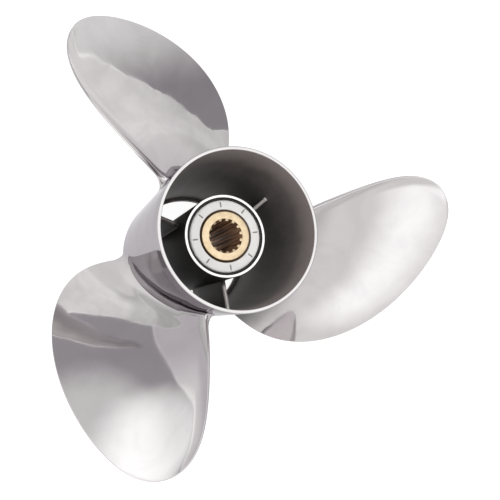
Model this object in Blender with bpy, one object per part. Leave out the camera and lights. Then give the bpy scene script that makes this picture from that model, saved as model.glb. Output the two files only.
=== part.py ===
"""Three-blade outboard propeller with exhaust through the hub, 14 1/2 in across by 19 in pitch.

It stands on its forward rim with the aft end up. The origin is on the shaft line in the plane
of the forward rim, +Z points aft along the shaft, and the tip of blade_1 points along +Y.
Every length is in metres and every angle in a constant's name ending _DEG is in degrees.
"""
import math

import bmesh
import bpy
import numpy as np

MM = 0.001
GAP = 0.3 * MM

# The blades
DIAMETER = 368.3 * MM
EDGE_ROUND = 0.8 * MM
PITCH = 482.6 * MM
RAKE_DEG = 20.0
TIP_HEIGHT = 139.5 * MM
BLADE_COUNT = 3
FIRST_TIP_DEG = 90.0
ROOT_THICKNESS = 9.5 * MM
TIP_THICKNESS = 3.0 * MM
LEADING_THICKNESS = 1.4 * MM
TRAILING_THICKNESS = 2.2 * MM
CUP_HEIGHT = 2.2 * MM
CUP_WIDTH = 13.0 * MM
ROOT_FILLET = 12.0 * MM
FILLET_EDGE = 2.0 * MM
EDGE_FILLET = 0.4
TIP_PLACE = 0.12
LEVEL_PLACE = 0.95
# Radius in millimetres, then the leading and the trailing edge in degrees round from the tip.
OUTLINE = (
    (55.0, -61.0, 9.2),
    (70.0, -59.5, 11.2),
    (85.0, -57.3, 12.8),
    (100.0, -54.2, 13.8),
    (115.0, -49.7, 14.1),
    (130.0, -42.9, 13.8),
    (145.0, -33.9, 12.9),
    (160.0, -23.0, 11.2),
    (170.0, -15.1, 9.3),
    (178.0, -8.6, 6.8),
    (182.0, -4.6, 4.3),
)

# The barrel, which is the outer hub
HUB_LENGTH = 150.6 * MM
FORWARD_RADIUS = 56.1 * MM
AFT_RADIUS = 60.5 * MM
MOUTH_RADIUS = 57.9 * MM
LIP_BORE = 49.0 * MM
LIP_DEPTH = 6.0 * MM
FORWARD_BORE = 52.0 * MM
AFT_BORE = 56.6 * MM
MOUTH_DEPTH = 14.0 * MM

TIP_RADIUS = 0.5 * DIAMETER - EDGE_ROUND
LEAD = PITCH / (2.0 * math.pi)
RAKE = math.tan(math.radians(RAKE_DEG))
SPAN = TIP_RADIUS - AFT_RADIUS

# The inner hub and the ribs that carry it
INNER_RADIUS = 31.8 * MM
INNER_BORE = 29.6 * MM
INNER_AFT = 116.8 * MM
INNER_FORWARD = 4.0 * MM
FLANGE_DEPTH = 6.0 * MM
FLANGE_BORE = 17.1 * MM
RIB_THICKNESS = 3.1 * MM
RIB_AFT = 93.6 * MM
RIB_FORWARD = 9.0 * MM
RIB_FROM_TIP_DEG = 33.2
RIB_CHAMFER = 0.8 * MM

# The bush, the rubber round it and the splined sleeve inside it
RUBBER_AFT = 115.6 * MM
RUBBER_THICKNESS = 1.4 * MM
BUSH_BORE = 19.1 * MM
BUSH_LIP_BORE = 17.1 * MM
BUSH_LIP_DEPTH = 3.4 * MM
BUSH_GROOVE_RADIUS = 20.45 * MM
BUSH_GROOVE_DEPTH = 3.0 * MM
BUSH_ROUND = 1.2 * MM
SLEEVE_RADIUS = 18.8 * MM
SLEEVE_NOSE_RADIUS = 16.8 * MM
SLEEVE_AFT = 117.4 * MM
SLEEVE_FORWARD = 3.0 * MM
SLEEVE_CHAMFER = 0.6 * MM
SPLINE_TEETH = 15
SPLINE_RADIUS = 13.2 * MM
SPLINE_DEPTH = 1.5 * MM
SPLINE_PATTERN = (0.0, 0.0, 1.0, 1.0, 1.0, 0.0)

ROUND_STEPS = 96
CHORD_STEPS = 20
SPAN_STEPS = 17
CAP_STEPS = 5


def clear_scene():
    """Take away whatever the new file opened with."""
    for item in list(bpy.data.objects):
        bpy.data.objects.remove(item, do_unlink=True)


def make_material(name, colour, roughness, metallic):
    """A plain Principled material."""
    material = bpy.data.materials.new(name)
    material.use_nodes = True
    shader = material.node_tree.nodes["Principled BSDF"]
    shader.inputs["Base Color"].default_value = (*colour, 1.0)
    shader.inputs["Roughness"].default_value = roughness
    shader.inputs["Metallic"].default_value = metallic
    material.diffuse_color = (*colour, 1.0)
    return material


def make_piece(name, points, faces, material, sharp_deg=35.0):
    """One named object from points and faces, with its normals outward and its rounds smooth."""
    mesh = bpy.data.meshes.new(name)
    mesh.from_pydata([tuple(point) for point in points], [], faces)
    work = bmesh.new()
    work.from_mesh(mesh)
    bmesh.ops.recalc_face_normals(work, faces=work.faces)
    work.to_mesh(mesh)
    work.free()
    mesh.shade_smooth()
    mesh.set_sharp_from_angle(angle=math.radians(sharp_deg))
    mesh.materials.append(material)
    piece = bpy.data.objects.new(name, mesh)
    bpy.context.scene.collection.objects.link(piece)
    return piece


def turned(name, profile, material, steps=ROUND_STEPS, toothed=()):
    """A closed profile of (radius, height) points turned round the shaft line.

    The profile points whose numbers are in toothed carry the spline teeth.
    """
    points = []
    for step in range(steps):
        angle = 2.0 * math.pi * step / steps
        tooth = SPLINE_DEPTH * SPLINE_PATTERN[step % len(SPLINE_PATTERN)]
        for number, (radius, height) in enumerate(profile):
            reach = radius - tooth if number in toothed else radius
            points.append((reach * math.cos(angle), reach * math.sin(angle), height))
    count = len(profile)
    faces = []
    for step in range(steps):
        here = step * count
        there = ((step + 1) % steps) * count
        for number in range(count):
            after = (number + 1) % count
            faces.append((here + number, there + number, there + after, here + after))
    return make_piece(name, points, faces, material)


def barrel_outside(height):
    """Outer radius of the barrel at a height."""
    return FORWARD_RADIUS + (AFT_RADIUS - FORWARD_RADIUS) * height / HUB_LENGTH


def barrel_inside(height):
    """Bore of the barrel at a height between its forward lip and its mouth."""
    run = (height - LIP_DEPTH) / (HUB_LENGTH - MOUTH_DEPTH - LIP_DEPTH)
    return FORWARD_BORE + (AFT_BORE - FORWARD_BORE) * run


def build_barrel(material):
    """The outer hub: a tapered tube with an inward lip ahead and a thin rounded rim aft."""
    rim = 0.5 * (AFT_RADIUS - MOUTH_RADIUS)
    middle = MOUTH_RADIUS + rim
    profile = [
        (LIP_BORE, 0.8 * MM),
        (LIP_BORE + 0.8 * MM, 0.0),
        (FORWARD_RADIUS - 1.2 * MM, 0.0),
        (FORWARD_RADIUS - 0.3 * MM, 0.4 * MM),
        (barrel_outside(1.5 * MM), 1.5 * MM),
    ]
    for degrees in (0, 30, 60, 90, 120, 150, 180):
        angle = math.radians(degrees)
        profile.append((middle + rim * math.cos(angle), HUB_LENGTH - rim + rim * math.sin(angle)))
    profile.append((barrel_inside(HUB_LENGTH - MOUTH_DEPTH), HUB_LENGTH - MOUTH_DEPTH))
    profile.append((barrel_inside(LIP_DEPTH + 1.5 * MM), LIP_DEPTH + 1.5 * MM))
    profile.append((FORWARD_BORE - 1.5 * MM, LIP_DEPTH))
    profile.append((LIP_BORE, LIP_DEPTH - 0.6 * MM))
    turned("barrel", profile, material)


def face_height(radius, angle):
    """Height of the pressure face: a true screw surface, raked aft towards the tip."""
    return TIP_HEIGHT + LEAD * angle - (TIP_RADIUS - radius) * RAKE


def outline_curve():
    """The blade's edge as one smooth curve of angle against place on the outline.

    The place is -1 at the leading root, 0 at the tip and +1 at the trailing root. At a place p
    the edge is 1 - p * p of the way from the barrel to the tip.
    """
    places = [0.0] * 4
    angles = [0.0] * 4
    for radius, leading, trailing in OUTLINE:
        for side, degrees in ((-1.0, leading), (1.0, trailing)):
            angle = math.radians(degrees)
            root = barrel_outside(face_height(radius * MM, angle)) + GAP
            places.append(side * math.sqrt((TIP_RADIUS - radius * MM) / (TIP_RADIUS - root)))
            angles.append(angle)
    return np.polynomial.Polynomial.fit(places, angles, 8)


def on_level(rise, angle, height):
    """Points at a share of the way from the barrel to the tip, as radius, angle and height."""
    root = barrel_outside(height) + GAP
    return np.stack([root + (TIP_RADIUS - root) * rise, angle, height], -1)


def face_points(rise, angle):
    """Points of the pressure face at a share of the way from the barrel to the tip."""
    height = np.full_like(angle, TIP_HEIGHT)
    for _ in range(8):
        height = face_height(on_level(rise, angle, height)[:, 0], angle)
    return on_level(rise, angle, height)


def fillet_reach(above):
    """How far the root fillet stands out from the blade at a distance above the barrel."""
    depth = np.clip(ROOT_FILLET - above, 0.0, ROOT_FILLET - FILLET_EDGE)
    return ROOT_FILLET - np.sqrt(ROOT_FILLET ** 2 - depth ** 2)


def nose_points(curve, place, face, back):
    """Rounds an edge off: points between face and back, moved out square to the outline."""
    middle = 0.5 * (face + back)
    across = np.hypot(middle[:, 0], LEAD)
    thick = np.abs(face[:, 2] - back[:, 2]) * across / middle[:, 0]
    up = np.where(np.abs(place) < LEVEL_PLACE, curve.deriv()(place) * across, 0.0)
    out = 2.0 * place * SPAN
    length = np.hypot(up, out)
    turn = 0.45 * thick * out / length / across
    climb = 0.45 * thick * up / length
    root = barrel_outside(middle[:, 2]) + GAP
    rise = (middle[:, 0] - root + climb) / (TIP_RADIUS - root)
    return on_level(rise, middle[:, 1] + turn, middle[:, 2] + LEAD * turn + RAKE * climb)


def blade_row(curve, place, bow=0.0):
    """One row from the leading to the trailing edge: places, face points and back points.

    A row is level, at one share of the way out, but with a bow of 1 it follows the outline.
    """
    even = np.linspace(-1.0, 1.0, CHORD_STEPS + 1)
    share = 0.5 * even + 0.5 * np.sin(0.5 * math.pi * even)
    rise = 1.0 - place ** 2 * (1.0 - bow + bow * share ** 2)
    flare = fillet_reach(rise * SPAN)
    ends = np.array([curve(-place), curve(place)])
    across = np.hypot(face_points(rise[[0, -1]], ends)[:, 0], LEAD)
    ends += EDGE_FILLET * flare[[0, -1]] / across * np.array([-1.0, 1.0])
    level = ends[0] + (ends[1] - ends[0]) * (0.5 + 0.5 * share)
    face = face_points(rise, (1.0 - bow) * level + bow * curve(place * share))
    across = np.hypot(face[:, 0], LEAD)
    chord = (ends[1] - ends[0]) * across
    edge = LEADING_THICKNESS + (TRAILING_THICKNESS - LEADING_THICKNESS) * (0.5 + 0.5 * share)
    middle = TIP_THICKNESS + (ROOT_THICKNESS - TIP_THICKNESS) * (1.0 - rise) ** 1.1
    fullness = ((1.0 - share ** 2) * min((place - TIP_PLACE) / 0.3, 1.0)) ** 0.7
    thickness = edge + (middle - edge) * fullness
    from_trailing = 0.5 * (1.0 - share) * chord
    cup = CUP_HEIGHT * np.clip(1.0 - from_trailing / CUP_WIDTH, 0.0, 1.0) ** 2
    cup *= np.clip((place - TIP_PLACE) / 0.3, 0.0, 1.0)
    inward = np.clip(chord * (1.0 - np.abs(share)) / (4.0 * ROOT_FILLET), 0.0, 1.0)
    spread = flare * (EDGE_FILLET + (1.0 - EDGE_FILLET) * inward)
    sides = []
    for offset in (cup + spread, cup - thickness - spread):
        angle = face[:, 1] - offset * LEAD / (across * face[:, 0])
        sides.append(on_level(rise, angle, face[:, 2] + offset * face[:, 0] / across))
    return place * share, sides[0], sides[1]


def cap_faces(points, first):
    """Closes the root with a strip between face and back that follows the barrel round."""
    count = CHORD_STEPS + 1
    size = 2 * count + 2
    columns = []
    for number in range(count):
        face_number = first + 1 + number
        back_number = first + size - 1 - number
        column = [face_number]
        for step in range(1, CAP_STEPS + 1):
            share = step / (CAP_STEPS + 1)
            point = points[face_number] * (1.0 - share) + points[back_number] * share
            column.append(len(points))
            points.append(on_level(0.0, point[1], point[2]))
        columns.append(column + [back_number])
    faces = []
    for left, right in zip(columns[:-1], columns[1:]):
        for step in range(CAP_STEPS + 1):
            faces.append((left[step], right[step], right[step + 1], left[step + 1]))
    for column, nose in ((columns[0], first), (columns[-1], first + count + 1)):
        for step in range(CAP_STEPS + 1):
            faces.append((nose, column[step], column[step + 1]))
    return faces


def tip_faces(first):
    """Closes the tip with a rounded strip between the last row and the nose points after it."""
    count = CHORD_STEPS + 1
    size = 2 * count + 2
    faces = []
    for number in range(count - 1):
        face, nose, back = first + 1 + number, first + size + number, first + size - 1 - number
        faces.append((face, face + 1, nose + 1, nose))
        faces.append((nose, nose + 1, back - 1, back))
    for end, number in ((first, 0), (first + count + 1, count - 1)):
        face, nose, back = first + 1 + number, first + size + number, first + size - 1 - number
        faces.append((end, face, nose))
        faces.append((end, nose, back))
    return faces


def build_blade(number, curve, material):
    """One blade, from its fillet on the barrel to its swept-back tip."""
    places = [math.sqrt(1.0 - height * MM / SPAN) for height in (0.0, 2.0, 3.5, 5.5, 8.5, 12.0)]
    start = places[-1]
    for step in range(1, SPAN_STEPS + 1):
        places.append(start + (TIP_PLACE - start) * step / SPAN_STEPS)
    points = []
    for place in places:
        along, face, back = blade_row(curve, place)
        noses = nose_points(curve, along[[0, -1]], face[[0, -1]], back[[0, -1]])
        points += [noses[0], *face, noses[1], *back[::-1]]
    size = 2 * CHORD_STEPS + 4
    faces = []
    for row in range(len(places) - 1):
        for step in range(size):
            after = (step + 1) % size
            here = row * size
            faces.append((here + step, here + after, here + size + after, here + size + step))
    faces += tip_faces(len(points) - size)
    along, face, back = blade_row(curve, TIP_PLACE, bow=1.0)
    points += list(nose_points(curve, along, face, back))
    faces += cap_faces(points, 0)
    turn = math.radians(FIRST_TIP_DEG - 360.0 * number / BLADE_COUNT)
    placed = []
    for radius, angle, height in points:
        placed.append((radius * math.cos(angle + turn), radius * math.sin(angle + turn), height))
    make_piece("blade_%d" % (number + 1), placed, faces, material)


def build_rib(number, material):
    """One flat rib between the inner hub and the barrel, with its two ends chamfered."""
    heights = (RIB_FORWARD, RIB_FORWARD + RIB_CHAMFER, 50.0 * MM, RIB_AFT - RIB_CHAMFER, RIB_AFT)
    half = 0.5 * RIB_THICKNESS
    turn = math.radians(FIRST_TIP_DEG + RIB_FROM_TIP_DEG - 360.0 * number / BLADE_COUNT)
    along = (math.cos(turn), math.sin(turn))
    points = []
    for height in heights:
        side = half - RIB_CHAMFER if height in (RIB_FORWARD, RIB_AFT) else half
        near = INNER_RADIUS + GAP
        far = barrel_inside(height) - GAP
        for reach, across in ((near, -side), (far, -side), (far, side), (near, side)):
            across_x = reach * along[0] - across * along[1]
            across_y = reach * along[1] + across * along[0]
            points.append((across_x, across_y, height))
    faces = [(0, 1, 2, 3), (16, 17, 18, 19)]
    for row in range(len(heights) - 1):
        for step in range(4):
            after = (step + 1) % 4
            faces.append((4 * row + step, 4 * row + after, 4 * row + 4 + after, 4 * row + 4 + step))
    make_piece("rib_%d" % (number + 1), points, faces, material)


def build_inner_hub(material):
    """The inner hub: a tube that holds the bush, with a flange under it at the forward end."""
    round_off = 0.7 * MM
    flange_top = INNER_FORWARD + FLANGE_DEPTH
    profile = [
        (FLANGE_BORE, INNER_FORWARD + round_off),
        (FLANGE_BORE + round_off, INNER_FORWARD),
        (INNER_RADIUS - round_off, INNER_FORWARD),
        (INNER_RADIUS, INNER_FORWARD + round_off),
        (INNER_RADIUS, INNER_AFT - round_off),
        (INNER_RADIUS - round_off, INNER_AFT),
        (INNER_BORE + round_off, INNER_AFT),
        (INNER_BORE, INNER_AFT - round_off),
        (INNER_BORE, flange_top),
        (FLANGE_BORE, flange_top),
    ]
    turned("inner_hub", profile, material, steps=72)


def build_rubber(material):
    """The rubber sleeve round the bush."""
    outer = INNER_BORE - GAP
    inner = outer - RUBBER_THICKNESS
    bottom = INNER_FORWARD + FLANGE_DEPTH + GAP
    profile = [(inner, bottom), (outer, bottom), (outer, RUBBER_AFT), (inner, RUBBER_AFT)]
    turned("rubber_sleeve", profile, material, steps=72)


def build_bush(material):
    """The pale moulded bush, rounded outside, with a groove round the sleeve and a lip under it."""
    outer = INNER_BORE - RUBBER_THICKNESS - 2.0 * GAP
    bottom = INNER_FORWARD + FLANGE_DEPTH + GAP
    profile = [(BUSH_LIP_BORE, bottom), (outer, bottom)]
    for degrees in (0, 30, 60, 90):
        angle = math.radians(degrees)
        radius = outer - BUSH_ROUND + BUSH_ROUND * math.cos(angle)
        profile.append((radius, INNER_AFT - BUSH_ROUND + BUSH_ROUND * math.sin(angle)))
    profile.append((BUSH_GROOVE_RADIUS, INNER_AFT))
    profile.append((BUSH_GROOVE_RADIUS, INNER_AFT - BUSH_GROOVE_DEPTH))
    profile.append((BUSH_BORE, INNER_AFT - BUSH_GROOVE_DEPTH))
    profile.append((BUSH_BORE, bottom + BUSH_LIP_DEPTH))
    profile.append((BUSH_LIP_BORE, bottom + BUSH_LIP_DEPTH))
    turned("hub_bush", profile, material, steps=72)


def build_sleeve(material):
    """The brass sleeve with the splined bore, shouldered where it sits on the bush's lip."""
    shoulder = INNER_FORWARD + FLANGE_DEPTH + BUSH_LIP_DEPTH + 2.0 * GAP
    chamfer = SLEEVE_CHAMFER
    profile = [
        (SPLINE_RADIUS, SLEEVE_FORWARD),
        (SLEEVE_NOSE_RADIUS - chamfer, SLEEVE_FORWARD),
        (SLEEVE_NOSE_RADIUS, SLEEVE_FORWARD + chamfer),
        (SLEEVE_NOSE_RADIUS, shoulder),
        (SLEEVE_RADIUS, shoulder),
        (SLEEVE_RADIUS, SLEEVE_AFT - chamfer),
        (SLEEVE_RADIUS - chamfer, SLEEVE_AFT),
        (SPLINE_RADIUS, SLEEVE_AFT),
    ]
    steps = SPLINE_TEETH * len(SPLINE_PATTERN)
    turned("drive_sleeve", profile, material, steps=steps, toothed=(0, 7))


def build_all():
    """Every piece of the propeller."""
    clear_scene()
    polished = make_material("polished_stainless", (0.62, 0.60, 0.60), 0.18, 1.0)
    cast = make_material("cast_stainless", (0.30, 0.28, 0.27), 0.45, 1.0)
    rubber = make_material("black_rubber", (0.03, 0.03, 0.03), 0.75, 0.0)
    moulded = make_material("white_moulding", (0.82, 0.81, 0.79), 0.5, 0.0)
    brass = make_material("yellow_brass", (0.78, 0.62, 0.36), 0.3, 1.0)
    build_barrel(polished)
    curve = outline_curve()
    for number in range(BLADE_COUNT):
        build_blade(number, curve, polished)
        build_rib(number, cast)
    build_inner_hub(cast)
    build_rubber(rubber)
    build_bush(moulded)
    build_sleeve(brass)


build_all()
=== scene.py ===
import math

import bmesh
import bpy
import numpy as np
from mathutils import Matrix, Vector


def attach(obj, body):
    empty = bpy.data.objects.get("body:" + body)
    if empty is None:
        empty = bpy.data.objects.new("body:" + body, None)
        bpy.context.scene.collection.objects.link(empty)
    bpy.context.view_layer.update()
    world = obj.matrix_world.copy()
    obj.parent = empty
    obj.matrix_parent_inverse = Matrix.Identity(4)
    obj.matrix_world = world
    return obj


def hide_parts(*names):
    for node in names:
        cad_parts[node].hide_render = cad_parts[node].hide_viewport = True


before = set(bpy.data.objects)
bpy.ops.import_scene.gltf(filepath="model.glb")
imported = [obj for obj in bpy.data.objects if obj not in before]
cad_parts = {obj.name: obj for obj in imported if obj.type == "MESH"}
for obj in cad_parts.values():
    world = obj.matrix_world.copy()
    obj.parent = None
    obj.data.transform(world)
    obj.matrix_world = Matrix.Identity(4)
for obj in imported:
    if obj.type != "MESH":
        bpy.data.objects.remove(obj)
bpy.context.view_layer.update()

# The barrel. It is the outside of a one-piece investment casting in stainless steel: a tube that
# tapers forward, with an inward lip ahead and a thin rounded rim aft. The outside is polished by
# hand, and the inside, where the exhaust runs, is left dull and dark.
MM = 0.001
HUB_LENGTH = 150.6 * MM
FORWARD_RADIUS = 56.1 * MM
AFT_RADIUS = 60.5 * MM
MOUTH_RADIUS = 57.9 * MM
LIP_BORE = 49.0 * MM
LIP_DEPTH = 6.0 * MM
FORWARD_BORE = 52.0 * MM
AFT_BORE = 56.6 * MM
MOUTH_DEPTH = 14.0 * MM
TAPER = (AFT_RADIUS - FORWARD_RADIUS) / HUB_LENGTH
STEEL = (0.585, 0.561, 0.562)
STEEL_HAZE = (0.548, 0.524, 0.527)
STEEL_EDGE = (0.66, 0.64, 0.67)


class Wire:
    """A node's output socket. Arithmetic on wires adds the Math nodes that do it."""

    def __init__(self, tree, socket):
        self.tree = tree
        self.socket = socket

    @staticmethod
    def node(tree, kind, settings=None, sockets=None, output=0):
        """Adds one node: its settings first, then the values or the wires of its sockets."""
        node = tree.nodes.new(kind)
        for name, setting in (settings or {}).items():
            if name == "stops":
                ramp = node.color_ramp
                while len(ramp.elements) < len(setting):
                    ramp.elements.new(0.5)
                for stop, (place, colour) in zip(ramp.elements, setting):
                    stop.position = place
                    stop.color = (*colour, 1.0)
            else:
                setattr(node, name, setting)
        for name, value in (sockets or {}).items():
            if isinstance(value, Wire):
                tree.links.new(value.socket, node.inputs[name])
            elif value is not None:
                node.inputs[name].default_value = value
        return Wire(tree, node.outputs[output])

    def math(self, operation, first, second=None):
        return Wire.node(self.tree, "ShaderNodeMath", {"operation": operation}, {0: first, 1: second})

    def __add__(self, other):
        return self.math("ADD", self, other)

    def __radd__(self, other):
        return self.math("ADD", other, self)

    def __sub__(self, other):
        return self.math("SUBTRACT", self, other)

    def __rsub__(self, other):
        return self.math("SUBTRACT", other, self)

    def __mul__(self, other):
        return self.math("MULTIPLY", self, other)

    def __rmul__(self, other):
        return self.math("MULTIPLY", other, self)

    def __truediv__(self, other):
        return self.math("DIVIDE", self, other)

    def __pow__(self, other):
        return self.math("POWER", self, other)

    def rise(self, low, high):
        """0 below low, 1 above high, and a smooth step between; high may be the lower one."""
        settings = {"interpolation_type": "SMOOTHSTEP"}
        sockets = {"Value": self, "From Min": low, "From Max": high}
        return Wire.node(self.tree, "ShaderNodeMapRange", settings, sockets)

    def tint(self, first, second):
        """The first colour where this wire is 0 and the second where it is 1."""
        first = first if isinstance(first, Wire) else (*first, 1.0)
        second = second if isinstance(second, Wire) else (*second, 1.0)
        sockets = {"Factor": self, 6: first, 7: second}
        return Wire.node(self.tree, "ShaderNodeMix", {"data_type": "RGBA"}, sockets, output=2)


class Finish:
    """A material under way: its tree, its shader, and the object's own coordinates."""

    def __init__(self, name):
        self.material = bpy.data.materials.new(name)
        self.material.use_nodes = True
        self.tree = self.material.node_tree
        self.shader = self.tree.nodes["Principled BSDF"]
        self.place = Wire.node(self.tree, "ShaderNodeTexCoord", output="Object")
        split = self.tree.nodes.new("ShaderNodeSeparateXYZ")
        self.tree.links.new(self.place.socket, split.inputs[0])
        self.x, self.y, self.z = (Wire(self.tree, split.outputs[axis]) for axis in "XYZ")
        self.radius = (self.x * self.x + self.y * self.y) ** 0.5

    def noise(self, per_metre, detail=2.0, roughness=0.5, stretch=None, distortion=0.0):
        """Noise from 0 to 1, with so many blobs to a metre; stretch scales X, Y and Z apart."""
        place = self.place
        if stretch:
            place = Wire.node(self.tree, "ShaderNodeMapping", None, {"Vector": place, "Scale": stretch})
        sockets = {"Vector": place, "Scale": per_metre, "Detail": detail,
                   "Roughness": roughness, "Distortion": distortion}
        return Wire.node(self.tree, "ShaderNodeTexNoise", None, sockets)

    def set(self, height=None, **values):
        """Fills the shader's sockets; height is a relief in metres."""
        if height is not None:
            sockets = {"Strength": 1.0, "Distance": 1.0, "Height": height}
            values["Normal"] = Wire.node(self.tree, "ShaderNodeBump", None, sockets)
        for name, value in values.items():
            socket = self.shader.inputs[name.replace("_", " ")]
            if isinstance(value, Wire):
                self.tree.links.new(value.socket, socket)
            else:
                socket.default_value = (*value, 1.0) if isinstance(value, tuple) else value
        return self.material


def polished_casting(name, shade_factor):
    """Stainless steel polished by hand: nearly a mirror, with slow waves and a faint haze."""
    finish = Finish(name)
    waves = finish.noise(22.0, detail=1.0)
    ripples = finish.noise(40.0, detail=1.0)
    haze = finish.noise(24.0, detail=4.0, roughness=0.6, distortion=1.4).rise(0.38, 0.72)
    wipe = finish.noise(900.0, detail=3.0, roughness=0.6)
    # The steel colour is scaled by the second argument; below 1 this darkens it as painted shade.
    return finish.set(
        Base_Color=haze.tint([shade_factor * part for part in STEEL], [shade_factor * part for part in STEEL_HAZE]),
        Metallic=1.0,
        Roughness=0.035 + 0.03 * haze + 0.03 * wipe,
        Specular_Tint=STEEL_EDGE,
        height=0.0002 * waves + 0.00015 * ripples,
    )


def dull_casting(name, shade, mouth_start, mouth_end, mouth_radius, aft_light_colour):
    """The casting left dull: dark scale over a fine grain, made lighter or darker by shade as painted light or shade,
    with painted light at its aft end out from mouth_radius, taken off one side by painted shade.
    """
    finish = Finish(name)
    grain = finish.noise(1400.0, detail=4.0, roughness=0.65)
    patches = finish.noise(60.0, detail=5.0, roughness=0.6)
    streaks = finish.noise(120.0, detail=3.0, stretch=(1.0, 1.0, 0.12))
    # The scale colours are multiplied by shade, giving lighter or darker copies of one finish as painted light or
    # shade.
    dark = [shade * part for part in (0.105, 0.094, 0.090)]
    pale = [shade * part for part in (0.150, 0.134, 0.128)]
    scale = (patches * 0.6 + streaks * 0.4).rise(0.3, 0.75).tint(dark, pale)
    # Painted light: the colour turns paler at the aft end, between mouth_start and mouth_end and out from
    # mouth_radius.
    aft_light = (finish.z + (mouth_end - mouth_start) * 0.3 * patches).rise(mouth_start, mouth_end)
    aft_light = aft_light * finish.radius.rise(mouth_radius, mouth_radius + 3.0 * MM)
    # Painted shade: the pale aft end is mostly taken away on the side toward -X and +Y.
    stain_and_side_shade = (finish.y * 0.61 - finish.x * 0.79).rise(10.0 * MM, 40.0 * MM)
    aft_light = aft_light * (1.0 - 0.8 * stain_and_side_shade)
    return finish.set(
        Base_Color=aft_light.tint(scale, aft_light_colour),
        Metallic=0.35,
        Specular_IOR_Level=0.2,
        Roughness=0.42 + 0.16 * patches,
        height=0.00003 * grain + 0.00006 * patches,
    )


def new_piece(name, points, faces, materials, face_materials=None, sharp_deg=40.0):
    """A mesh object at the origin with outward normals and smooth rounds."""
    mesh = bpy.data.meshes.new(name)
    mesh.from_pydata([tuple(point) for point in points], [], faces)
    for material in materials:
        mesh.materials.append(material)
    if face_materials is not None:
        mesh.polygons.foreach_set("material_index", face_materials)
    work = bmesh.new()
    work.from_mesh(mesh)
    bmesh.ops.remove_doubles(work, verts=work.verts, dist=1e-7)
    bmesh.ops.recalc_face_normals(work, faces=work.faces)
    work.to_mesh(mesh)
    work.free()
    mesh.shade_smooth()
    mesh.set_sharp_from_angle(angle=math.radians(sharp_deg))
    piece = bpy.data.objects.new(name, mesh)
    bpy.context.scene.collection.objects.link(piece)
    return piece


def turned(name, profile, materials, steps=256):
    """A closed profile turned round the shaft. Each (radius, height, number) starts a band of that material."""
    count = len(profile)
    angles = 2.0 * math.pi * np.arange(steps) / steps
    points = [(r * math.cos(a), r * math.sin(a), z) for a in angles for r, z, _ in profile]
    faces = []
    bands = []
    for step in range(steps):
        here, there = step * count, (step + 1) % steps * count
        for number in range(count):
            after = (number + 1) % count
            faces.append((here + number, there + number, there + after, here + after))
            bands.append(profile[number][2])
    return new_piece(name, points, faces, materials, bands)


def rounded(corner_radius, corner_height, size, start_deg, end_deg, band, steps=6):
    """Profile points of an arc about a centre, from one bearing to another."""
    arc = []
    for step in range(steps + 1):
        bearing = math.radians(start_deg + (end_deg - start_deg) * step / steps)
        arc.append((corner_radius + size * math.cos(bearing), corner_height + size * math.sin(bearing), band))
    return arc


def barrel_outside(height):
    return FORWARD_RADIUS + TAPER * height


def barrel_inside(height):
    run = (height - LIP_DEPTH) / (HUB_LENGTH - MOUTH_DEPTH - LIP_DEPTH)
    return FORWARD_BORE + (AFT_BORE - FORWARD_BORE) * run


barrel_profile = rounded(LIP_BORE + 0.8 * MM, 0.8 * MM, 0.8 * MM, 180, 270, 0)
barrel_profile += rounded(FORWARD_RADIUS - 1.2 * MM, 1.2 * MM, 1.2 * MM, 270, 360, 0)
barrel_profile += [(barrel_outside(z * MM), z * MM, 0) for z in (10, 30, 50, 70, 90, 110, 130)]
barrel_profile += rounded(AFT_RADIUS - 0.6 * MM, HUB_LENGTH - 0.6 * MM, 0.6 * MM, 0, 84, 0)
barrel_profile += rounded(MOUTH_RADIUS + 0.4 * MM, HUB_LENGTH - 0.42 * MM, 0.4 * MM, 96, 135, 0, steps=3)
barrel_profile += rounded(MOUTH_RADIUS + 0.4 * MM, HUB_LENGTH - 0.42 * MM, 0.4 * MM, 140, 180, 1, steps=3)
barrel_profile += [(MOUTH_RADIUS - 0.15 * MM, HUB_LENGTH - 2.6 * MM, 1)]
barrel_profile += [(barrel_inside(z * MM) - 0.02 * MM, z * MM, 1) for z in (136.6, 120, 95, 70, 45, 20)]
barrel_profile += rounded(FORWARD_BORE - 1.5 * MM, LIP_DEPTH + 1.5 * MM, 1.5 * MM, 0, -90, 1)
barrel_profile += rounded(LIP_BORE + 0.8 * MM, LIP_DEPTH - 0.8 * MM, 0.8 * MM, 90, 180, 1)
# The barrel's steel is darkened to 0.87 of the blades' as painted shade, for the shaded floor it reflects.
polish = polished_casting("polished_barrel", 0.87)
# The inside's dull scale is lightened 1.3 times as painted light, and painted light makes it paler from 118 mm out to
# the aft rim, less so on one side.
dull = dull_casting("dull_casting", 1.3, 118.0 * MM, 158.0 * MM, 40.0 * MM, (0.34, 0.297, 0.284))
barrel = turned("barrel_shell", barrel_profile, [polish, dull])
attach(barrel, "root")
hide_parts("barrel")

# The three blades. They are cast with the barrel and ground to shape: the face is a true screw
# surface raked aft, the back is cambered, the trailing edge is cupped, and a fillet runs all round
# the root. Each is laid out flat first, then wound on to the screw by Geometry Nodes.
PITCH = 482.6 * MM
RAKE = math.tan(math.radians(20.0))
TIP_RADIUS = 183.35 * MM
TIP_HEIGHT = 139.5 * MM
SPAN = TIP_RADIUS - AFT_RADIUS
LEAD = PITCH / (2.0 * math.pi)
ROOT_THICKNESS = 9.5 * MM
TIP_THICKNESS = 3.0 * MM
LEADING_THICKNESS = 1.4 * MM
TRAILING_THICKNESS = 3.7 * MM
TRAILING_TIP_THICKNESS = 2.5 * MM
CUP_HEIGHT = 1.1 * MM
CUP_WIDTH = 9.0 * MM
ROOT_FILLET = 12.0 * MM
EDGE_FILLET = 0.4
TIP_PLACE = 0.12
LEVEL_PLACE = 0.95
CHORD_STEPS = 96
SPAN_STEPS = 60
FILLET_STEPS = 12
NOSE_STEPS = 8
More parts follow.
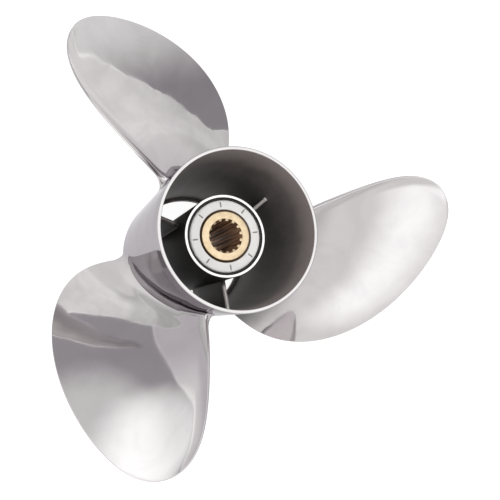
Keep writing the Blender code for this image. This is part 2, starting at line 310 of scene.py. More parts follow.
# Radius in millimetres, then the leading and the trailing edge in degrees round from the tip.
OUTLINE = (
    (55.0, -61.0, 8.8),
    (70.0, -59.5, 10.9),
    (85.0, -57.3, 12.5),
    (100.0, -54.2, 13.5),
    (115.0, -49.7, 13.8),
    (130.0, -42.9, 13.4),
    (145.0, -33.8, 12.4),
    (160.0, -22.8, 10.7),
    (170.0, -14.9, 8.8),
    (178.0, -8.5, 6.4),
    (182.0, -4.5, 4.1),
)
BLADES = (("blade_1", 90.0), ("blade_2", -30.0), ("blade_3", -150.0))


def screw_height(angle, rise):
    """Height of the face at an angle from the tip and a share of the way out from the barrel."""
    level = TIP_HEIGHT - RAKE * TIP_RADIUS + LEAD * angle
    level = level + RAKE * (FORWARD_RADIUS * (1.0 - rise) + TIP_RADIUS * rise)
    return level / (1.0 - RAKE * TAPER * (1.0 - rise))


def screw_radius(angle, rise):
    return barrel_outside(screw_height(angle, rise)) * (1.0 - rise) + TIP_RADIUS * rise


def edge_curve():
    """The edge's angle against its place: -1 leading root, 0 tip, +1 trailing root."""
    places = [0.0] * 4
    angles = [0.0] * 4
    for radius, leading, trailing in OUTLINE:
        for side, degrees in ((-1.0, leading), (1.0, trailing)):
            angle = math.radians(degrees)
            height = TIP_HEIGHT + LEAD * angle - (TIP_RADIUS - radius * MM) * RAKE
            root = barrel_outside(height)
            places.append(side * math.sqrt((TIP_RADIUS - radius * MM) / (TIP_RADIUS - root)))
            angles.append(angle)
    return np.polynomial.Polynomial.fit(places, angles, 8)


def flat_row(curve, place, flare_height=None, bow=0.0):
    """A row from edge to edge as places, angles, shares of the way out, and face and back offsets."""
    even = np.linspace(-1.0, 1.0, CHORD_STEPS + 1)
    share = 0.1 * even + 0.9 * np.sin(0.5 * math.pi * even)
    rise = 1.0 - place ** 2 * (1.0 - bow + bow * share ** 2)
    depth = max(ROOT_FILLET - (1.0 - place ** 2) * SPAN, 0.0)
    flare = ROOT_FILLET - math.sqrt(ROOT_FILLET ** 2 - depth ** 2)
    ends = np.array([curve(-place), curve(place)])
    ends += EDGE_FILLET * flare / np.hypot(screw_radius(ends, rise[0]), LEAD) * np.array([-1.0, 1.0])
    level = ends[0] + (ends[1] - ends[0]) * (0.5 + 0.5 * share)
    angle = (1.0 - bow) * level + bow * curve(place * share)
    chord = (ends[1] - ends[0]) * np.hypot(screw_radius(angle, rise), LEAD)
    trailing = TRAILING_TIP_THICKNESS + (TRAILING_THICKNESS - TRAILING_TIP_THICKNESS) * (1.0 - rise)
    edge = LEADING_THICKNESS + (trailing - LEADING_THICKNESS) * (0.5 + 0.5 * share)
    middle = TIP_THICKNESS + (ROOT_THICKNESS - TIP_THICKNESS) * (1.0 - rise) ** 1.1
    fullness = ((1.0 - share ** 2) * min((place - TIP_PLACE) / 0.3, 1.0)) ** 0.7
    thickness = edge + (middle - edge) * fullness
    cup = CUP_HEIGHT * np.clip(1.0 - 0.5 * (1.0 - share) * chord / CUP_WIDTH, 0.0, 1.0) ** 2
    cup *= min((place - TIP_PLACE) / 0.3, 1.0)
    inward = np.clip(chord * (1.0 - np.abs(share)) / (4.0 * ROOT_FILLET), 0.0, 1.0)
    spread = flare * (EDGE_FILLET + (1.0 - EDGE_FILLET) * inward)
    return place * share, angle, rise, cup + spread, cup - thickness - spread


def nose(curve, place, angle, rise, face, back):
    """Points that join face to back, in flat layout: half round at the leading edge, nearly square at the other."""
    trailing = min(max(0.5 + 0.5 * place / TIP_PLACE, 0.0), 1.0)
    across = math.hypot(screw_radius(angle, rise), LEAD)
    up = curve.deriv()(place) * across if abs(place) < LEVEL_PLACE else 0.0
    out = 2.0 * place * SPAN
    length = math.hypot(up, out)
    half = 0.5 * (face - back)
    points = []
    for step in range(1, NOSE_STEPS):
        bearing = math.pi * (0.5 - step / NOSE_STEPS)
        reach = (0.9 - 0.5 * trailing) * half * math.cos(bearing) ** (1.0 - 0.3 * trailing)
        lift = math.copysign(abs(math.sin(bearing)) ** (1.0 - 0.3 * trailing), bearing)
        height = 0.5 * (face + back) + half * lift
        points.append((angle + reach * out / length / across, rise + reach * up / length / SPAN, height))
    return points


def flat_blade(curve):
    """The blade laid out flat: X is the angle from the tip, Y the share of the way out, Z the offset."""
    places = []
    for step in range(FILLET_STEPS + 1):
        height = ROOT_FILLET * (1.0 - math.cos(0.5 * math.pi * step / FILLET_STEPS))
        places.append(math.sqrt(1.0 - height / SPAN))
    start = places[-1]
    for step in range(1, SPAN_STEPS + 1):
        places.append(start + (TIP_PLACE - start) * step / SPAN_STEPS)
    points = []
    for place in places:
        along, angle, rise, face, back = flat_row(curve, place)
        columns = list(zip(along, angle, rise, face, back))
        points += [(a, r, f) for _, a, r, f, _ in columns]
        points += nose(curve, *columns[-1])
        points += [(a, r, b) for _, a, r, _, b in reversed(columns)]
        points += nose(curve, *columns[0])[::-1]
    count = CHORD_STEPS + 1
    size = 2 * count + 2 * (NOSE_STEPS - 1)
    faces = []
    for row in range(len(places) - 1):
        for step in range(size):
            here, after = row * size + step, row * size + (step + 1) % size
            faces.append((here, after, after + size, here + size))
    last = (len(places) - 1) * size
    faces += cap(0, size, count)
    columns = list(zip(*flat_row(curve, TIP_PLACE, bow=1.0)))
    tip = len(points)
    for place, angle, rise, face, back in columns:
        points.append((angle, rise, face))
        points += nose(curve, place, angle, rise, face, back)
        points.append((angle, rise, back))
    for number in range(count - 1):
        strip = [last + number]
        strip += [tip + number * (NOSE_STEPS + 1) + step for step in range(NOSE_STEPS + 1)]
        strip.append(last + size - NOSE_STEPS - number)
        other = [last + number + 1]
        other += [tip + (number + 1) * (NOSE_STEPS + 1) + step for step in range(NOSE_STEPS + 1)]
        other.append(last + size - NOSE_STEPS - number - 1)
        for step in range(len(strip) - 1):
            faces.append((strip[step], other[step], other[step + 1], strip[step + 1]))
    return points, faces


def cap(first, size, count):
    """Closes the root, out of sight inside the barrel's wall."""
    faces = []
    for number in range(count - 1):
        back = first + size - NOSE_STEPS - number
        faces.append((first + number, first + number + 1, back - 1, back))
    faces.append(tuple(range(first + count - 1, first + count + NOSE_STEPS)))
    faces.append(tuple(first + size - NOSE_STEPS + step for step in range(NOSE_STEPS)) + (first,))
    return faces


def new_form(name, inputs):
    """An empty Geometry Nodes tree with a geometry in and out, and the named inputs."""
    tree = bpy.data.node_groups.new(name, "GeometryNodeTree")
    tree.interface.new_socket("Geometry", in_out="INPUT", socket_type="NodeSocketGeometry")
    tree.interface.new_socket("Geometry", in_out="OUTPUT", socket_type="NodeSocketGeometry")
    for label, kind in inputs:
        tree.interface.new_socket(label, in_out="INPUT", socket_type=kind)
    source = tree.nodes.new("NodeGroupInput")
    wires = {socket.name: Wire(tree, socket) for socket in source.outputs if socket.name}
    return tree, wires


def finish_form(tree, geometry, material):
    """Ends a tree as plain faces of one material."""
    real = Wire.node(tree, "GeometryNodeRealizeInstances", None, {"Geometry": geometry})
    painted = Wire.node(tree, "GeometryNodeSetMaterial", None, {"Geometry": real, "Material": material})
    tree.links.new(painted.socket, tree.nodes.new("NodeGroupOutput").inputs["Geometry"])


def make_form(piece, tree, values):
    """Puts a piece through a tree with the given inputs and keeps the plain mesh that comes out."""
    modifier = piece.modifiers.new("form", "NODES")
    modifier.node_group = tree
    for item in tree.interface.items_tree:
        if item.in_out == "INPUT" and item.name in values:
            modifier[item.identifier] = values[item.name]
    bpy.context.view_layer.update()
    result = piece.evaluated_get(bpy.context.evaluated_depsgraph_get())
    mesh = bpy.data.meshes.new_from_object(result)
    piece.modifiers.remove(modifier)
    piece.data = mesh
    mesh.name = piece.name
    work = bmesh.new()
    work.from_mesh(mesh)
    bmesh.ops.remove_doubles(work, verts=work.verts, dist=1e-7)
    bmesh.ops.dissolve_degenerate(work, edges=work.edges, dist=1e-7)
    bmesh.ops.recalc_face_normals(work, faces=work.faces)
    work.to_mesh(mesh)
    work.free()
    mesh.shade_smooth()
    mesh.set_sharp_from_angle(angle=math.radians(50.0))


NUMBER = "NodeSocketFloat"
screw, wire = new_form("wind_on_screw", [
    ("Pitch", NUMBER),
    ("Rake", NUMBER),
    ("Tip radius", NUMBER),
    ("Tip height", NUMBER),
    ("Forward radius", NUMBER),
    ("Taper", NUMBER),
    ("Turn", NUMBER),
    ("Material", "NodeSocketMaterial"),
])
flat = screw.nodes.new("ShaderNodeSeparateXYZ")
screw.links.new(Wire.node(screw, "GeometryNodeInputPosition").socket, flat.inputs[0])
angle, rise, offset = (Wire(screw, flat.outputs[axis]) for axis in "XYZ")
lead = wire["Pitch"] * (0.5 / math.pi)
inboard = 1.0 - rise
level = wire["Tip height"] - wire["Rake"] * wire["Tip radius"] + lead * angle
level = level + wire["Rake"] * (wire["Forward radius"] * inboard + wire["Tip radius"] * rise)
height = level / (1.0 - wire["Rake"] * wire["Taper"] * inboard)
radius = (wire["Forward radius"] + wire["Taper"] * height) * inboard + wire["Tip radius"] * rise
across = (radius * radius + lead * lead) ** 0.5
turned_angle = angle - offset * lead / (across * radius) + wire["Turn"]
moved_height = height + offset * radius / across
radius = (wire["Forward radius"] + wire["Taper"] * moved_height) * inboard + wire["Tip radius"] * rise
cosine = angle.math("COSINE", turned_angle)
sine = angle.math("SINE", turned_angle)
point = Wire.node(screw, "ShaderNodeCombineXYZ", None, {0: radius * cosine, 1: radius * sine, 2: moved_height})
wound = Wire.node(screw, "GeometryNodeSetPosition", None, {"Geometry": wire["Geometry"], "Position": point})
finish_form(screw, wound, wire["Material"])

polish = polished_casting("polished_blades", 1.0)
curve = edge_curve()
flat_points, flat_faces = flat_blade(curve)
for node, turn in BLADES:
    blade = new_piece(node + "_casting", flat_points, flat_faces, [polish])
    make_form(blade, screw, {
        "Pitch": PITCH,
        "Rake": RAKE,
        "Tip radius": TIP_RADIUS,
        "Tip height": TIP_HEIGHT,
        "Forward radius": FORWARD_RADIUS,
        "Taper": TAPER,
        "Turn": math.radians(turn),
        "Material": polish,
    })
    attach(blade, "root")
    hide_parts(node)

# The three ribs. They are thin webs of the same casting that join the barrel to the inner hub, and
# the exhaust passes between them. One is made with its fillets and its rounded aft edge, and
# Geometry Nodes set three of them round the shaft.
INNER_RADIUS = 31.8 * MM
RIB_THICKNESS = 3.1 * MM
RIB_AFT = 93.6 * MM
RIB_FORWARD = 9.0 * MM
RIB_TURN_DEG = 3.2
RIB_FILLET = 1.6 * MM
RIB_STEPS = 28


def one_rib():
    """A rib along +X: loops round its section from the inner hub out to the barrel."""
    points = []
    sides = (90.0, 70.0, 50.0, 30.0, 15.0)
    reaches = 0.5 - 0.5 * np.cos(math.pi * np.linspace(0.0, 1.0, RIB_STEPS + 1))
    width = barrel_inside(0.5 * RIB_AFT) - INNER_RADIUS
    for reach in reaches:
        depths = [max(RIB_FILLET - gap * width, 0.0) for gap in (reach, 1.0 - reach)]
        flare = sum(RIB_FILLET - math.sqrt(RIB_FILLET ** 2 - depth ** 2) for depth in depths)
        half = 0.5 * RIB_THICKNESS + min(flare, 0.9 * MM)
        loop = []
        for step in range(9):
            bearing = math.pi * step / 8
            lift = 0.5 * RIB_THICKNESS * math.sin(bearing) + (half - 0.5 * RIB_THICKNESS)
            loop.append((half * math.cos(bearing), RIB_AFT - 0.5 * RIB_THICKNESS + lift))
        loop += [(-half, z * MM) for z in sides[:-1]]
        loop += [(-half, RIB_FORWARD + 1.0 * MM), (-half + 1.0 * MM, RIB_FORWARD)]
        loop += [(half - 1.0 * MM, RIB_FORWARD), (half, RIB_FORWARD + 1.0 * MM)]
        loop += [(half, z * MM) for z in sides[-2::-1]]
        for across, z in loop:
            start = INNER_RADIUS - 0.4 * MM
            points.append((start + (barrel_inside(z) + 0.4 * MM - start) * reach, across, z))
    size = len(points) // (RIB_STEPS + 1)
    faces = [tuple(range(size)), tuple(range(RIB_STEPS * size, (RIB_STEPS + 1) * size))]
    for row in range(RIB_STEPS):
        for step in range(size):
            here, after = row * size + step, row * size + (step + 1) % size
            faces.append((here, after, after + size, here + size))
    return points, faces


round_shaft, wire = new_form("set_round_shaft", [
    ("Count", "NodeSocketInt"),
    ("First turn", NUMBER),
    ("Material", "NodeSocketMaterial"),
])
seats = Wire.node(round_shaft, "GeometryNodeMeshLine", None, {"Count": wire["Count"], "Offset": (0.0, 0.0, 0.0)})
index = Wire.node(round_shaft, "GeometryNodeInputIndex")
bearing = index * index.math("DIVIDE", 2.0 * math.pi, wire["Count"])
turns = Wire.node(round_shaft, "ShaderNodeCombineXYZ", None, {2: bearing + wire["First turn"]})
copies = Wire.node(round_shaft, "GeometryNodeInstanceOnPoints", None,
                   {"Points": seats, "Instance": wire["Geometry"], "Rotation": turns})
finish_form(round_shaft, copies, wire["Material"])

# The ribs' dull scale is darkened to 0.7 as painted shade, and their aft edge is painted pale as a painted highlight,
# left dark near the inner hub and on one side as painted shade.
rib_light_and_shade = dull_casting("rib_light_and_shade_casting", 0.7, RIB_AFT - 2.2 * MM, RIB_AFT - 0.8 * MM, INNER_RADIUS + 2.5 * MM,
                      (0.80, 0.75, 0.72))
ribs = new_piece("exhaust_ribs", *one_rib(), [rib_light_and_shade])
make_form(ribs, round_shaft, {"Count": 3, "First turn": math.radians(RIB_TURN_DEG), "Material": rib_light_and_shade})
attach(ribs, "root")
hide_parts("rib_1", "rib_2", "rib_3")

# The inner hub. It is the middle of the casting, a tube bored out for the bush, with a flange at
# its forward end. The outside is as cast, and the aft face is turned bright.
INNER_BORE = 29.6 * MM
INNER_AFT = 116.8 * MM
INNER_FORWARD = 4.0 * MM
FLANGE_TOP = 10.0 * MM
FLANGE_BORE = 17.1 * MM


def turned_face():
    """A freshly turned stainless face: fine rings left by the tool."""
    finish = Finish("turned_face")
    rings = (finish.radius * 9000.0).math("SINE", finish.radius * 9000.0)
    smear = finish.noise(300.0, detail=3.0)
    return finish.set(
        Base_Color=smear.tint((0.86, 0.85, 0.84), (0.74, 0.72, 0.71)),
        Metallic=1.0,
        Roughness=0.26 + 0.1 * smear,
        height=0.000002 * rings + 0.000004 * smear,
    )


# The inner hub's dull scale is darkened to 0.55 as painted shade, deep in the barrel.
deep_shade = dull_casting("deep_shade_casting", 0.55, 118.0 * MM, 158.0 * MM, 40.0 * MM, (0.27, 0.235, 0.225))
bright = turned_face()
hub_profile = [(FLANGE_BORE, FLANGE_TOP, 1), (FLANGE_BORE, INNER_FORWARD + 0.7 * MM, 0)]
hub_profile += rounded(INNER_RADIUS - 0.7 * MM, INNER_FORWARD + 0.7 * MM, 0.7 * MM, 270, 360, 0)
hub_profile += [(INNER_RADIUS, z * MM, 0) for z in (30, 60, 90, 110)]
hub_profile += rounded(INNER_RADIUS - 0.5 * MM, INNER_AFT - 0.5 * MM, 0.5 * MM, 0, 90, 1)
hub_profile += rounded(INNER_BORE + 0.4 * MM, INNER_AFT - 0.4 * MM, 0.4 * MM, 90, 180, 1)
hub_profile += [(INNER_BORE, 100.0 * MM, 1), (INNER_BORE, FLANGE_TOP, 1)]
inner_hub = turned("inner_hub_tube", hub_profile, [deep_shade, bright], steps=192)
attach(inner_hub, "root")
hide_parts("inner_hub")

# The rubber sleeve. It is moulded black rubber pressed between the hub and the bush, and takes the
# shock when the gear engages. Only its aft edge shows, a little below the faces beside it.
RUBBER_OUTER = 29.3 * MM
RUBBER_INNER = 27.9 * MM
RUBBER_AFT = 115.6 * MM
RUBBER_FORWARD = 10.3 * MM


def black_rubber():
    finish = Finish("black_rubber")
    bloom = finish.noise(220.0, detail=4.0)
    grain = finish.noise(2500.0, detail=2.0)
    return finish.set(
        Base_Color=bloom.tint((0.012, 0.011, 0.011), (0.035, 0.033, 0.032)),
        Roughness=0.6 + 0.25 * bloom,
        height=0.00002 * grain,
    )


rubber_profile = [(RUBBER_INNER, RUBBER_FORWARD, 0), (RUBBER_OUTER, RUBBER_FORWARD, 0)]
rubber_profile += rounded(0.5 * (RUBBER_INNER + RUBBER_OUTER), RUBBER_AFT - 0.7 * MM, 0.7 * MM, 0, 180, 0)
rubber = turned("rubber_ring", rubber_profile, [black_rubber()], steps=160)
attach(rubber, "root")
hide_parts("rubber_sleeve")

# The hub bush. It is injection moulded in a pale glass-filled plastic, with a rounded outer edge,
# eight raised tick marks on its aft face and a groove round the brass sleeve.
BUSH_RADIUS = 27.6 * MM
BUSH_AFT = 116.8 * MM
BUSH_GROOVE = 20.3 * MM
MARK_RADIUS = 24.0 * MM
MARK_LENGTH = 4.2 * MM
MARK_WIDTH = 1.1 * MM
MARK_COUNT = 8
MARK_TURN_DEG = 17.3


def pale_moulding(name, dark, pale):
    """Plastic with short glass fibres: a faint speckle, a fine matt grain and painted shade in the groove."""
    finish = Finish(name)
    speckle = finish.noise(1600.0, detail=4.0, roughness=0.7)
    cloud = finish.noise(180.0, detail=3.0)
    fibres = (speckle * 0.7 + cloud * 0.3).rise(0.3, 0.7).tint(dark, pale)
    # Painted shade: a dark brown ring at the groove round the brass sleeve.
    groove_shade = finish.radius.rise(BUSH_GROOVE + 0.25 * MM, BUSH_GROOVE - 0.15 * MM)
    return finish.set(
        Base_Color=groove_shade.tint(fibres, (0.11, 0.07, 0.045)),
        Roughness=0.48 + 0.2 * speckle,
        height=0.00002 * speckle + 0.00003 * cloud,
    )


def one_mark():
    """A raised tick along +X with a rounded top and rounded ends."""
    points = []
    half = 0.5 * MARK_WIDTH
    rows = ((1.0, -0.2 * MM), (1.0, 0.12 * MM), (0.75, 0.24 * MM), (0.3, 0.29 * MM))
    for size, lift in rows:
        for end in (1.0, -1.0):
            for step in range(7):
                bearing = math.pi * (step / 6 - 0.5) + (0.0 if end > 0 else math.pi)
                x = MARK_RADIUS + end * (0.5 * MARK_LENGTH - half) + half * size * math.cos(bearing)
                points.append((x, half * size * math.sin(bearing), BUSH_AFT + lift))
    faces = [tuple(range(14)), tuple(range(42, 56))]
    for row in range(3):
        for step in range(14):
            here, after = 14 * row + step, 14 * row + (step + 1) % 14
            faces.append((here, after, after + 14, here + 14))
    return points, faces


moulding = pale_moulding("pale_moulding", (0.78, 0.765, 0.745), (0.88, 0.865, 0.84))
bush_profile = [(17.1 * MM, 10.3 * MM, 0), (BUSH_RADIUS, 10.3 * MM, 0), (BUSH_RADIUS, 60.0 * MM, 0)]
bush_profile += rounded(BUSH_RADIUS - 1.6 * MM, BUSH_AFT - 1.6 * MM, 1.6 * MM, 0, 90, 0, steps=8)
bush_profile += rounded(BUSH_GROOVE + 0.4 * MM, BUSH_AFT - 0.4 * MM, 0.4 * MM, 90, 180, 0, steps=4)
bush_profile += [(BUSH_GROOVE, BUSH_AFT - 2.4 * MM, 0), (19.1 * MM, BUSH_AFT - 3.0 * MM, 0)]
bush_profile += [(19.1 * MM, 13.7 * MM, 0), (17.1 * MM, 13.7 * MM, 0)]
bush = turned("moulded_bush", bush_profile, [moulding], steps=192)
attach(bush, "root")
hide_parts("hub_bush")

# The raised tick marks are coloured dark grey as painted shade, for the shadow round them.
shaded_marks = pale_moulding("shaded_marks_moulding", (0.20, 0.19, 0.18), (0.34, 0.33, 0.31))
marks = new_piece("bush_tick_marks", *one_mark(), [shaded_marks])
make_form(marks, round_shaft, {"Count": MARK_COUNT, "First turn": math.radians(MARK_TURN_DEG), "Material": shaded_marks})
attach(marks, "root")

# The drive sleeve. It is machined from brass bar, with a shoulder that sits on the bush's lip, and
# its bore is broached with fifteen splines for the propeller shaft. Grease darkens the splines.
SLEEVE_RADIUS = 18.8 * MM
SLEEVE_NOSE_RADIUS = 16.8 * MM
SLEEVE_AFT = 117.4 * MM
SLEEVE_FORWARD = 3.0 * MM
SHOULDER = 14.0 * MM
SPLINE_RADIUS = 13.2 * MM
SPLINE_DEPTH = 1.5 * MM
SPLINE_COUNT = 15
TOOTH_START = 0.1 * MM
TOOTH_SLOPE = 0.85 * MM


def greasy_brass():
    """Brass with turning rings on its face, a few stains, and dark grease down the bore."""
    finish = Finish("greasy_brass")
    rings = (finish.radius * 7000.0).math("SINE", finish.radius * 7000.0)
    stain_and_side_shade = finish.noise(260.0, detail=5.0, roughness=0.65)
    speck = finish.noise(1100.0, detail=2.0).rise(0.66, 0.78)
    streak = finish.noise(700.0, detail=3.0, stretch=(1.0, 1.0, 0.03))
    clean = stain_and_side_shade.rise(0.35, 0.7).tint((0.67, 0.54, 0.365), (0.58, 0.45, 0.29))
    clean = (speck * 0.6).tint(clean, (0.45, 0.30, 0.16))
    grease = streak.rise(0.35, 0.7).tint((0.17, 0.095, 0.055), (0.75, 0.46, 0.27))
    chamfer = SLEEVE_AFT - TOOTH_START - (SPLINE_RADIUS - finish.radius) * (TOOTH_SLOPE / SPLINE_DEPTH)
    down = (chamfer - finish.z).rise(0.1 * MM, 0.6 * MM)
    inside = finish.radius.rise(SPLINE_RADIUS + 0.4 * MM, SPLINE_RADIUS + 0.15 * MM)
    mask = down * inside
    return finish.set(
        Base_Color=mask.tint(clean, grease),
        Metallic=1.0 - 0.55 * mask,
        Roughness=0.3 + 0.12 * stain_and_side_shade + 0.1 * mask,
        height=0.0000015 * rings + 0.000008 * stain_and_side_shade + 0.00003 * mask * streak,
    )


def one_spline():
    """One spline tooth along +X: curved flanks, and a chamfer where the shaft enters."""
    section = ((-6.9, -0.5), (-6.4, 0.0), (-5.6, 0.45), (-4.9, 0.85), (-4.1, 1.0), (0.0, 1.03),
               (4.1, 1.0), (4.9, 0.85), (5.6, 0.45), (6.4, 0.0), (6.9, -0.5))
    ends = ((SLEEVE_FORWARD + 0.05 * MM, 0.2), (SLEEVE_FORWARD + 1.3 * MM, 1.0),
            (40.0 * MM, 1.0), (80.0 * MM, 1.0), (SLEEVE_AFT - TOOTH_START - TOOTH_SLOPE, 1.0), (SLEEVE_AFT - TOOTH_START, 0.02))
    points = []
    for z, fullness in ends:
        for degrees, height in section:
            reach = SPLINE_RADIUS - SPLINE_DEPTH * (height * fullness if height > 0 else height)
            bearing = math.radians(degrees)
            points.append((reach * math.cos(bearing), reach * math.sin(bearing), z))
    size = len(section)
    faces = [tuple(range(size)), tuple(range((len(ends) - 1) * size, len(ends) * size))]
    for row in range(len(ends) - 1):
        for step in range(size):
            here, after = row * size + step, row * size + (step + 1) % size
            faces.append((here, after, after + size, here + size))
    return points, faces


brass = greasy_brass()
sleeve_profile = rounded(SPLINE_RADIUS + 0.5 * MM, SLEEVE_FORWARD + 0.5 * MM, 0.5 * MM, 180, 270, 0, steps=3)
sleeve_profile += rounded(SLEEVE_NOSE_RADIUS - 0.6 * MM, SLEEVE_FORWARD + 0.6 * MM, 0.6 * MM, 270, 360, 0, steps=3)
sleeve_profile += [(SLEEVE_NOSE_RADIUS, SHOULDER, 0), (SLEEVE_RADIUS, SHOULDER, 0), (SLEEVE_RADIUS, 70.0 * MM, 0)]
sleeve_profile += rounded(SLEEVE_RADIUS - 0.6 * MM, SLEEVE_AFT - 0.6 * MM, 0.6 * MM, 0, 90, 0, steps=4)
sleeve_profile += [(SPLINE_RADIUS + 0.1 * MM, SLEEVE_AFT, 0), (SPLINE_RADIUS, SLEEVE_AFT - 0.1 * MM, 0)]
sleeve_profile += [(SPLINE_RADIUS, 70.0 * MM, 0)]
sleeve = turned("brass_sleeve", sleeve_profile, [brass], steps=180)
splines = new_piece("sleeve_splines", *one_spline(), [brass])
make_form(splines, round_shaft, {"Count": SPLINE_COUNT, "First turn": 0.0, "Material": brass})
for piece in (sleeve, splines):
    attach(piece, "root")
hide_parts("drive_sleeve")

# The studio. The propeller stands on its forward rim on a white sweep, whose edge curves up all
# round. Above it a grey room holds one broad soft light overhead and two softer ones at the sides,
# and the camera looks down from aft, as in the photograph.
SWEEP_FLAT = 1.7
SWEEP_REACH = 2.3
# Bearing in degrees round from +X, then how high the sweep curves up there.
SWEEP_HEIGHTS = (
    (-180.0, 0.22),
    (-62.0, 0.60),
    (-52.0, 0.457),
    (-48.0, 0.357),
    (-44.0, 0.255),
    (-41.0, 0.18),
    (-32.0, 0.215),
    (-25.0, 0.325),
    (-18.0, 0.436),
    (-14.0, 0.537),
    (-12.0, 0.60),
    (-9.0, 0.745),
    (-5.0, 0.90),
    (15.0, 1.10),
    (35.0, 0.90),
    (43.0, 0.71),
    (46.0, 0.66),
    (49.0, 0.54),
    (54.0, 0.415),
    (59.0, 0.332),
    (63.0, 0.285),
    (72.0, 0.28),
    (110.0, 0.22),
    (180.0, 0.22),
)


def white_sweep(name, glow):
    finish = Finish(name)
    paper = finish.noise(40.0, detail=3.0)
    mottle = (finish.noise(3.5, detail=4.0, distortion=1.5) - 0.5) * finish.radius.rise(0.33, 0.6)
    turn = finish.y.math("ARCTAN2", finish.y, finish.x)
    # Painted shadow and light in the glow that reflections see: shade darkens it near the propeller and on some
    # bearings, lit adds a painted pool of light, and beyond darkens it past a straight line. The camera sees an even
    # glow.
    beyond = (finish.y * 0.259 - finish.x * 0.966).rise(0.080, 0.084) * finish.radius.rise(0.60, 0.70)
    lit = turn.rise(math.radians(-175.0), math.radians(-168.0)) * turn.rise(math.radians(-128.0), math.radians(-136.0))
    lit = lit * finish.radius.rise(0.25, 0.36)
    beyond = beyond * (1.0 - lit)
    near = finish.radius.rise(0.80, 0.45) * finish.x.rise(0.0, 0.1)
    shade = 0.20 * turn.rise(math.radians(-8.0), math.radians(-27.0)) * (1.0 - lit) + 0.13 * near
    ring = turn.rise(math.radians(52.0), math.radians(66.0)) * finish.radius.rise(0.34, 0.42)
    clear = finish.radius.rise(1.00, 1.30) * turn.rise(math.radians(66.0), math.radians(60.0))
    shade = shade + 0.23 * ring * (1.0 - clear) * (1.0 - beyond)
    seen = Wire.node(finish.tree, "ShaderNodeLightPath", output="Is Camera Ray")
    light = (glow + 0.35 * mottle - 0.4 * beyond + 0.4 * lit - shade) * (1.0 - seen) + 0.95 * seen
    return finish.set(
        Base_Color=paper.tint((0.24, 0.24, 0.24), (0.26, 0.26, 0.26)),
        Roughness=0.9,
        Emission_Color=(0.5 * light).tint((0.0, 0.0, 0.0), (1.0, 1.0, 1.0)),
        Emission_Strength=2.0,
    )


sweep_profile = [(0.001, 0.0), (0.6, 0.0), (SWEEP_FLAT, 0.0)]
for step in range(1, 13):
    share = math.sin(0.5 * math.pi * step / 12)
    sweep_profile.append((SWEEP_FLAT + (SWEEP_REACH - SWEEP_FLAT) * share, 1.0 - math.sqrt(1.0 - (step / 12) ** 2)))
sweep_profile.append((SWEEP_REACH, 1.03))
count = len(sweep_profile)
sweep_points = []
sweep_faces = []
sweep_bands = []
for step in range(180):
    bearing = 2.0 * math.pi * step / 180
    high = np.interp((math.degrees(bearing) + 180.0) % 360.0 - 180.0, *zip(*SWEEP_HEIGHTS))
    sweep_points += [(r * math.cos(bearing), r * math.sin(bearing), high * z - 0.0002) for r, z in sweep_profile]
    for number in range(count - 1):
        here, there = step * count + number, (step + 1) % 180 * count + number
        sweep_faces.append((here, there, there + 1, here + 1))
        sweep_bands.append(1 if number == count - 2 else 0)
sweep_faces.append(tuple(count * step for step in range(180)))
sweep_bands.append(0)
papers = [white_sweep("white_sweep", 0.82), white_sweep("bright_edge", 1.3)]
sweep = new_piece("white_sweep", sweep_points, sweep_faces, papers, sweep_bands)

world = bpy.data.worlds.new("studio")
bpy.context.scene.world = world
world.use_nodes = True
room = world.node_tree
room.nodes.clear()
direction = Wire.node(room, "ShaderNodeTexCoord", output="Generated")


def soft_light(zenith_deg, bearing_deg, full_deg, edge_deg):
    """1 inside a round light in the sky and 0 outside it, with a soft edge."""
    zenith, turn = math.radians(zenith_deg), math.radians(bearing_deg)
    centre = (math.sin(zenith) * math.cos(turn), math.sin(zenith) * math.sin(turn), math.cos(zenith))
    facing = Wire.node(room, "ShaderNodeVectorMath", {"operation": "DOT_PRODUCT"},
                       {0: direction, 1: centre}, output="Value")
    return facing.rise(math.cos(math.radians(edge_deg)), math.cos(math.radians(full_deg)))


apart = room.nodes.new("ShaderNodeSeparateXYZ")
room.links.new(direction.socket, apart.inputs[0])
toward_x, toward_y, toward_z = (Wire(room, apart.outputs[axis]) for axis in "XYZ")
bearing = toward_y.math("ARCTAN2", toward_y, toward_x)
zenith = toward_z.math("ARCCOSINE", toward_z)
past_edge = bearing + 0.55 * (zenith - math.radians(60.0)) - math.radians(87.5)
front = bearing.rise(math.radians(-95.0), math.radians(-80.0)) * past_edge.rise(0.004, -0.008)
side = past_edge.rise(-0.008, 0.004) * bearing.rise(math.radians(165.0), math.radians(150.0))
back = 1.0 - front - side
dark = front * zenith.rise(math.radians(34.0), math.radians(54.0))
dim = side * zenith.rise(math.radians(57.0), math.radians(77.0))
glow = 1.03 - dark * (0.64 - 0.07 * bearing.rise(math.radians(-20.0), math.radians(40.0))) - 0.28 * dim
along = toward_x * 0.766 - toward_y * 0.643
glow = glow + 0.03 * back - (0.31 - 0.15 * along) * back * zenith.rise(math.radians(66.0), math.radians(80.0))
far_wall = toward_x.rise(-0.80, -0.93) * zenith.rise(math.radians(62.0), math.radians(72.0))
glow = glow - 0.35 * far_wall
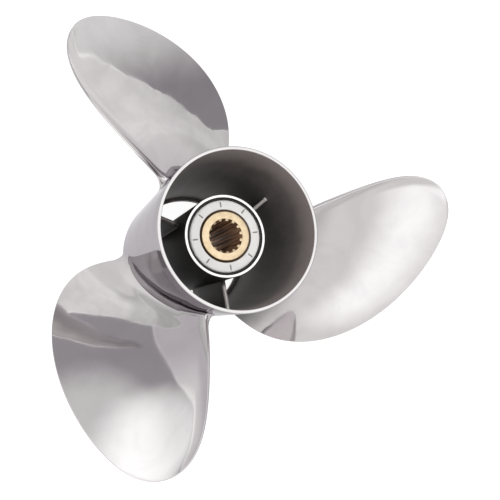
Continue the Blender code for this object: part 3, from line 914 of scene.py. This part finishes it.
glow = glow + 0.35 * past_edge.rise(-0.016, -0.008) * past_edge.rise(0.006, 0.0) * zenith.rise(1.0, 1.1)
lamps = 0.83 * soft_light(17.0, -15.0, 10.0, 26.0)
lamps = lamps + 0.82 * soft_light(49.0, 79.0, 5.0, 16.5)
lamps = lamps + 0.44 * soft_light(53.0, 62.0, 5.0, 16.0)
lamps = lamps + 0.74 * soft_light(40.0, -4.0, 26.0, 45.0) * zenith.rise(math.radians(52.0), math.radians(64.0))
lamps = lamps + 0.88 * soft_light(34.0, 143.0, 8.0, 26.0)
slope = toward_x.math("ARCTAN2", -0.643 * toward_x - 0.766 * toward_y, toward_z)
strip = slope.rise(math.radians(31.0), math.radians(41.0)) * slope.rise(math.radians(55.0), math.radians(43.0))
strip = strip * along.rise(-0.70, -0.35) * along.rise(0.60, 0.35)
lamps = lamps + 0.62 * strip
dusk = ((dark + dim) * lamps.rise(0.45, 0.0)).tint((1.0, 0.99, 0.99), (0.975, 0.945, 1.0))
dusk = lamps.rise(0.0, 0.6).tint(dusk, (0.985, 0.996, 1.0))
seen = Wire.node(room, "ShaderNodeLightPath", output="Is Camera Ray")
sky = Wire.node(room, "ShaderNodeBackground", None,
                {"Color": seen.tint(dusk, (1.0, 1.0, 1.0)), "Strength": (glow + lamps) * (1.0 - seen) + seen})
room.links.new(sky.socket, room.nodes.new("ShaderNodeOutputWorld").inputs["Surface"])

CAMERA_PLACE = (-0.19617, 0.03494, 0.65775)
CAMERA_RIGHT = Vector((0.74459, -0.57389, 0.34094))
CAMERA_UP = Vector((0.56606, 0.81354, 0.13316))
camera_data = bpy.data.cameras.new("camera")
camera_data.lens = 55.08
camera_data.sensor_width = 36.0
camera = bpy.data.objects.new("camera", camera_data)
bpy.context.scene.collection.objects.link(camera)
axes = Matrix((CAMERA_RIGHT, CAMERA_UP, CAMERA_RIGHT.cross(CAMERA_UP))).transposed().to_4x4()
camera.matrix_world = Matrix.Translation(CAMERA_PLACE) @ axes
bpy.context.scene.camera = camera
bpy.context.scene.view_settings.view_transform = "Standard"
